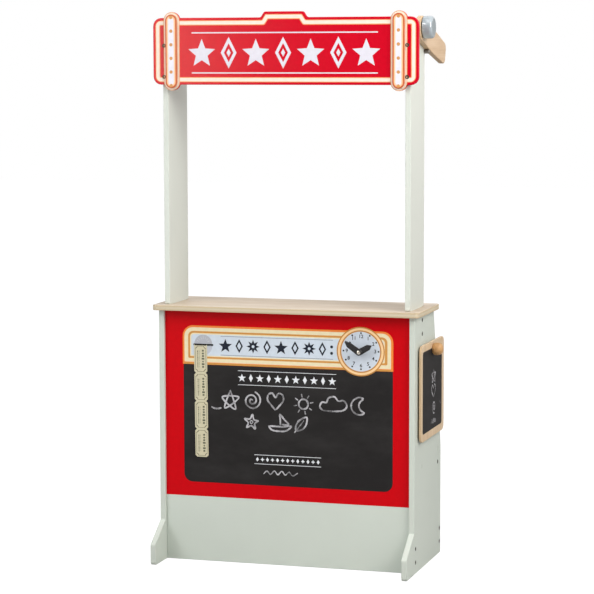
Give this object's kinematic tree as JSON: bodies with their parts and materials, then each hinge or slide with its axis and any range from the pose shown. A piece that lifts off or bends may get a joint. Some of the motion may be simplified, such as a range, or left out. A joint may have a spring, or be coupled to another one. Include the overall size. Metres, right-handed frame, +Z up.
{
  "type": "puppet theater stand",
  "caption": "Child's upright puppet booth of painted boards: counter, stage opening under a header sign, shelf behind, play clock, ticket strip, hanging slate and side arm.",
  "frame": {"origin": "on the floor, at the centre of the bounding box", "axes": "+Z up; -Y towards the audience (front panel, sign), +Y towards the puppeteer (shelf); +X to the audience's right (slate and side arm)"},
  "size_m": [0.6248, 0.3458, 1.2122],
  "materials": {
    "sage_paint": "satin sage-green paint on board",
    "red_paint": "semi-gloss red paint with printed panels",
    "natural_wood": "clear-lacquered pale wood",
    "turned_wood": "lacquered turned wood",
    "grey_paint": "glossy grey paint on turned wood",
    "black_plastic": "moulded, satin",
    "dark_steel": "blackened screw steel",
    "plated_steel": "nickel-plated screw steel",
    "cream_card": "uncoated printed card"
  },
  "bodies": {
    "stand": {"arm_bolt": "dark_steel", "clock_spindle": "plated_steel", "clock_standoff": "black_plastic", "counter_top": "natural_wood", "front_panel": "red_paint", "header_sign": "red_paint", "kick_board": "sage_paint", "left_bulb_strip": "natural_wood", "left_kick_screw_lower": "dark_steel", "left_kick_screw_upper": "dark_steel", "left_lip_screw_lower": "dark_steel", "left_lip_screw_upper": "dark_steel", "left_post": "sage_paint", "left_post_screw_lower": "dark_steel", "left_post_screw_upper": "dark_steel", "left_rail_screw_lower": "dark_steel", "left_rail_screw_upper": "dark_steel", "left_shelf_screw": "dark_steel", "left_side_panel": "sage_paint", "left_sign_screw_lower": "dark_steel", "left_sign_screw_upper": "dark_steel", "lower_rear_rail": "sage_paint", "right_bulb_strip": "natural_wood", "right_kick_screw_lower": "dark_steel", "right_kick_screw_upper": "dark_steel", "right_lip_screw_lower": "dark_steel", "right_lip_screw_upper": "dark_steel", "right_post": "sage_paint", "right_post_screw_lower": "dark_steel", "right_post_screw_upper": "dark_steel", "right_rail_screw_lower": "dark_steel", "right_rail_screw_upper": "dark_steel", "right_shelf_screw": "dark_steel", "right_side_panel": "sage_paint", "right_sign_screw_lower": "dark_steel", "right_sign_screw_upper": "dark_steel", "shelf_lip": "sage_paint", "slate_peg": "turned_wood", "spindle_nut": "dark_steel", "stop_peg": "dark_steel", "storage_shelf": "sage_paint", "ticket_strip": "cream_card"},
    "arm": {"side_arm": "natural_wood", "arm_drum": "grey_paint", "arm_washer": "black_plastic"},
    "slate": {"hanging_slate": "natural_wood"},
    "hour": {"hour_hand": "black_plastic"},
    "minute": {"minute_hand": "black_plastic"}
  },
  "joints": [
    {"name": "arm_swing", "type": "hinge", "parent": "stand", "child": "arm", "pos_m": [0.2746, -0.0384, 1.1773], "axis": [1, 0, 0], "range_deg": [0, 140]},
    {"name": "slate_swing", "type": "hinge", "parent": "stand", "child": "slate", "pos_m": [0.28685, 0.0231, 0.478], "axis": [1, 0, 0], "range_deg": [-38, 38]},
    {"name": "hour_turn", "type": "hinge", "parent": "stand", "child": "hour", "pos_m": [0.1586, -0.1119, 0.482], "axis": [0, -1, 0], "continuous": true},
    {"name": "minute_turn", "type": "hinge", "parent": "stand", "child": "minute", "pos_m": [0.1586, -0.1139, 0.482], "axis": [0, -1, 0], "continuous": true}
  ]
}
